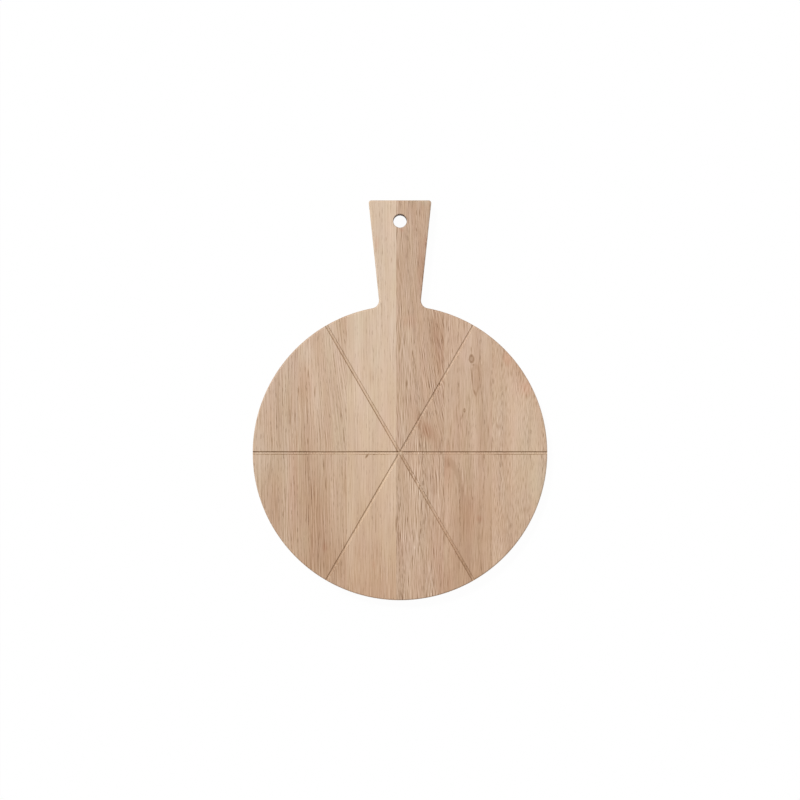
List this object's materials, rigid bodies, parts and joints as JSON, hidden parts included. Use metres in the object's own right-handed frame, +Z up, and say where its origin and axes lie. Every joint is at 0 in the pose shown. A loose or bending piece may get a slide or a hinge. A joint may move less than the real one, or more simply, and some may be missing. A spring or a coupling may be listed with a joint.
{
  "type": "tapas board",
  "caption": "Round oak tapas board with shallow radial grooves that mark equal portions, and a flared handle with a hanging hole.",
  "frame": {"origin": "centre of the round part, on the flat underside", "axes": "+Z up through the board towards its grooved face, +Y along the staves towards the end of the handle, +X to the right of someone who holds the handle away from them"},
  "size_m": [0.35, 0.475, 0.016],
  "materials": {
    "outer_left_oak": "oiled oak, fine straight grain, matte",
    "left_oak": "oiled oak, straight grain with brown bands, matte",
    "left_handle_oak": "oiled oak, pale and fine, matte",
    "right_handle_oak": "oiled oak, coarse open pores, matte",
    "right_oak": "oiled oak, plain sawn with small knots, matte",
    "outer_right_oak": "oiled oak, plain sawn, golden, matte"
  },
  "bodies": {
    "root": {"outer_left_stave": "outer_left_oak", "left_stave": "left_oak", "left_handle_stave": "left_handle_oak", "right_handle_stave": "right_handle_oak", "right_stave": "right_oak", "outer_right_stave": "outer_right_oak"}
  },
  "joints": []
}
